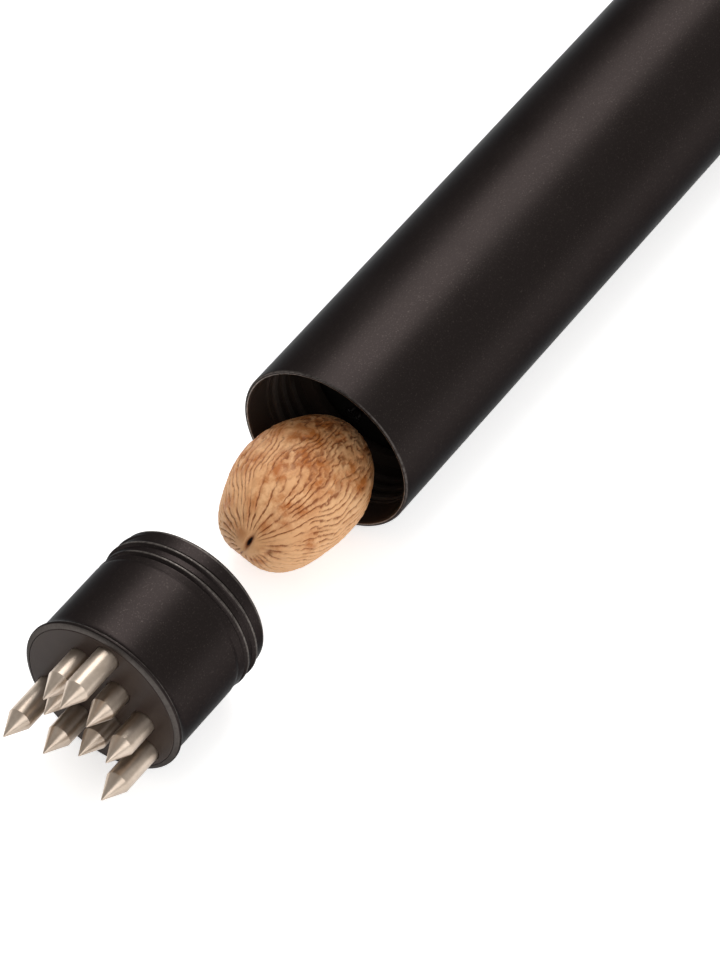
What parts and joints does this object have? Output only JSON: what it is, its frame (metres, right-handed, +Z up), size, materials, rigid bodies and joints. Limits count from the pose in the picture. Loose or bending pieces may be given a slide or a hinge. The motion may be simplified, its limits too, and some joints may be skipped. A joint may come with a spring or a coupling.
{
  "type": "hand-cranked nutmeg grater",
  "caption": "Slim hand-cranked nutmeg grater: black metal barrel on its side, spiked screw head taken off before it, nutmeg half in the mouth, crank arm and knob behind.",
  "frame": {"origin": "on the barrel's axis, at the middle of the barrel tube's length", "axes": "+X along the barrel from its open mouth to the crank, +Z up, the barrel lying on its side"},
  "size_m": [0.2618, 0.068, 0.03],
  "materials": {
    "black_metal": "satin black anodised aluminium, worn bright on edges and thread crests",
    "steel": "turned stainless steel",
    "bare_aluminium": "machined",
    "bronze": "sintered bronze",
    "black_plastic": "turned black acetal",
    "rubber": "moulded",
    "nutmeg_seed": "dry furrowed seed"
  },
  "bodies": {
    "barrel": {"barrel": "black_metal", "rear_cap": "black_metal", "rear_bush": "bronze", "cap_screws": "steel", "bearing_bridge": "bare_aluminium", "front_bush": "bronze"},
    "spindle": {"spindle": "steel", "drive_pin": "steel", "spring_collar": "steel", "collar_pin": "steel", "feed_spring": "steel", "retaining_ring": "steel", "thrust_washer": "bronze", "crank_arm": "black_metal", "crank_nut": "steel", "knob_pin": "steel"},
    "knob": {"knob": "black_plastic"},
    "rotor": {"rotor_hub": "bare_aluminium", "grating_disc": "steel", "disc_screws": "steel"},
    "seal": {"seal_ring": "rubber"},
    "head": {"head_shell": "black_metal", "spike_plate": "black_metal", "spike_1": "steel", "spike_2": "steel", "spike_3": "steel", "spike_4": "steel", "spike_5": "steel", "spike_6": "steel", "spike_7": "steel", "spike_8": "steel", "spike_9": "steel"},
    "nutmeg": {"nutmeg": "nutmeg_seed"}
  },
  "joints": [
    {"name": "crank", "type": "hinge", "parent": "barrel", "child": "spindle", "pos_m": [0.069, 0, 0], "axis": [1, 0, 0], "continuous": true},
    {"name": "knob_spin", "type": "hinge", "parent": "spindle", "child": "knob", "pos_m": [0.08638, 0.04453, -0.0065], "axis": [1, 0, 0], "continuous": true},
    {"name": "rotor_feed", "type": "slide", "parent": "spindle", "child": "rotor", "axis": [1, 0, 0], "range_m": [0, 0.01091], "deforming": ["feed_spring"]},
    {"name": "head_slide", "type": "slide", "parent": "barrel", "child": "seal", "axis": [0.9997, -0.0032, 0.024], "range_m": [0, 0.04704]},
    {"name": "head_turn", "type": "hinge", "parent": "seal", "child": "head", "pos_m": [-0.11005, 0.00015, -0.00113], "axis": [1, 0, 0], "range_deg": [0, 8062.28]},
    {"name": "nutmeg_load", "type": "slide", "parent": "barrel", "child": "nutmeg", "axis": [0.9626, -0.0509, 0.266], "range_m": [0, 0.01767]}
  ],
  "couplings": [
    {"joint": "head_slide", "follows": "head_turn", "m_per_rad": 0.00033432},
    {"joint": "nutmeg_load", "follows": "head_turn", "m_per_rad": 0.00012558},
    {"joint": "rotor_feed", "follows": "head_turn", "m_per_rad": 0.000077533}
  ]
}
